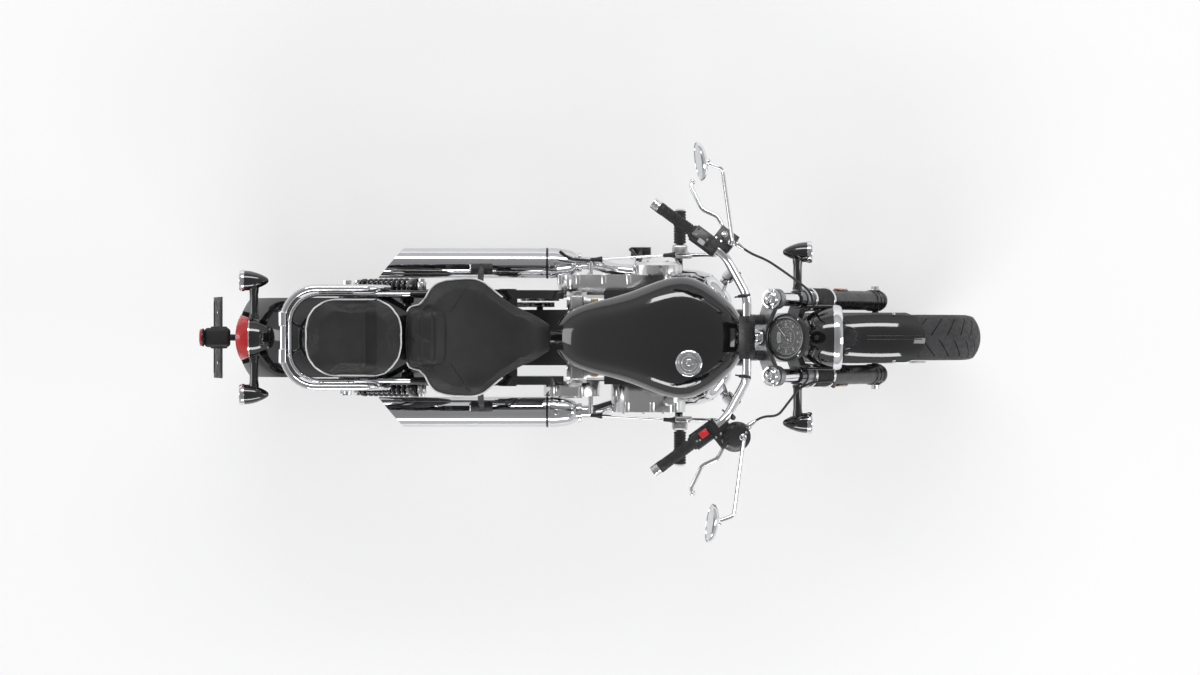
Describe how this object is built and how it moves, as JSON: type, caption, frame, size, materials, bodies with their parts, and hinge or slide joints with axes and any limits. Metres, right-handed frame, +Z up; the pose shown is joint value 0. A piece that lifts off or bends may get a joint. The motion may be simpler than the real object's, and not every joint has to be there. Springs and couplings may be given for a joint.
{
  "type": "cruiser motorcycle",
  "caption": "Cruiser motorcycle with a finned parallel twin, teardrop tank, low bolstered saddle, wide pulled-back bars, round headlamp and chromed exhausts, leant on its side stand.",
  "frame": {"origin": "on the ground, under the middle of the machine's overall box", "axes": "+X forward, +Y to the machine's left, towards its side stand, +Z up"},
  "size_m": [2.3549, 1.1216, 1.2402],
  "materials": {
    "tyre": "matte",
    "wheel_paint": "satin",
    "disc_steel": "brushed",
    "fork_paint": "satin",
    "chrome": "polished",
    "black_rubber": "matte",
    "yoke_alloy": "satin",
    "black_plastic": "satin",
    "lever_alloy": "polished",
    "gloss_black": "gloss",
    "frame_paint": "satin",
    "engine_paint": "satin",
    "cover_alloy": "polished",
    "saddle_leather": "satin",
    "red_lens": "gloss",
    "chain_steel": "oiled"
  },
  "bodies": {
    "chassis": {"rear_guard": "gloss_black", "rear_caliper": "fork_paint", "frame": "frame_paint", "swing_arm": "frame_paint", "rear_shocks": "frame_paint", "engine_case": "engine_paint", "barrels": "engine_paint", "cylinder_head": "engine_paint", "engine_covers": "cover_alloy", "throttle_bodies": "cover_alloy", "header_pipes": "chrome", "silencers": "chrome", "fuel_tank": "gloss_black", "filler_cap": "chrome", "rider_saddle": "saddle_leather", "pillion_pad": "saddle_leather", "side_covers": "gloss_black", "grab_rail": "chrome", "tail_lamp": "red_lens", "rear_signals": "black_plastic", "plate_holder": "black_plastic", "rear_reflector": "red_lens", "foot_controls": "black_rubber", "rear_pegs": "black_rubber", "horns": "chrome", "drive_chain": "chain_steel"},
    "steering": {"fork_lowers": "fork_paint", "fork_tubes": "chrome", "fork_gaiters": "black_rubber", "fork_yokes": "yoke_alloy", "handlebar": "chrome", "bar_clamps": "yoke_alloy", "grips": "black_rubber", "bar_controls": "black_plastic", "levers": "lever_alloy", "mirrors": "chrome", "headlight": "gloss_black", "front_signals": "black_plastic", "instrument": "black_plastic", "front_guard": "gloss_black", "front_caliper": "fork_paint", "control_cables": "black_rubber"},
    "front_wheel": {"front_tyre": "tyre", "front_rim": "wheel_paint", "front_disc": "disc_steel"},
    "rear_wheel": {"rear_tyre": "tyre", "rear_rim": "wheel_paint", "rear_disc": "disc_steel"},
    "side_stand": {"side_stand": "frame_paint"}
  },
  "joints": [
    {"name": "steering", "type": "hinge", "parent": "chassis", "child": "steering", "pos_m": [0.54124, -0.05427, 0.72605], "axis": [-0.5299, 0.1473, 0.8352], "range_deg": [-35, 35]},
    {"name": "front_wheel_spin", "type": "hinge", "parent": "steering", "child": "front_wheel", "pos_m": [0.8575, -0.12643, 0.31681], "axis": [0, 0.9848, -0.1736], "continuous": true},
    {"name": "rear_wheel_spin", "type": "hinge", "parent": "chassis", "child": "rear_wheel", "pos_m": [-0.7525, -0.12539, 0.32272], "axis": [0, 0.9848, -0.1736], "continuous": true},
    {"name": "side_stand_swing", "type": "hinge", "parent": "chassis", "child": "side_stand", "pos_m": [0.115, 0.00462, 0.1617], "axis": [0, 0.8829, 0.4695], "range_deg": [0, 90]}
  ]
}
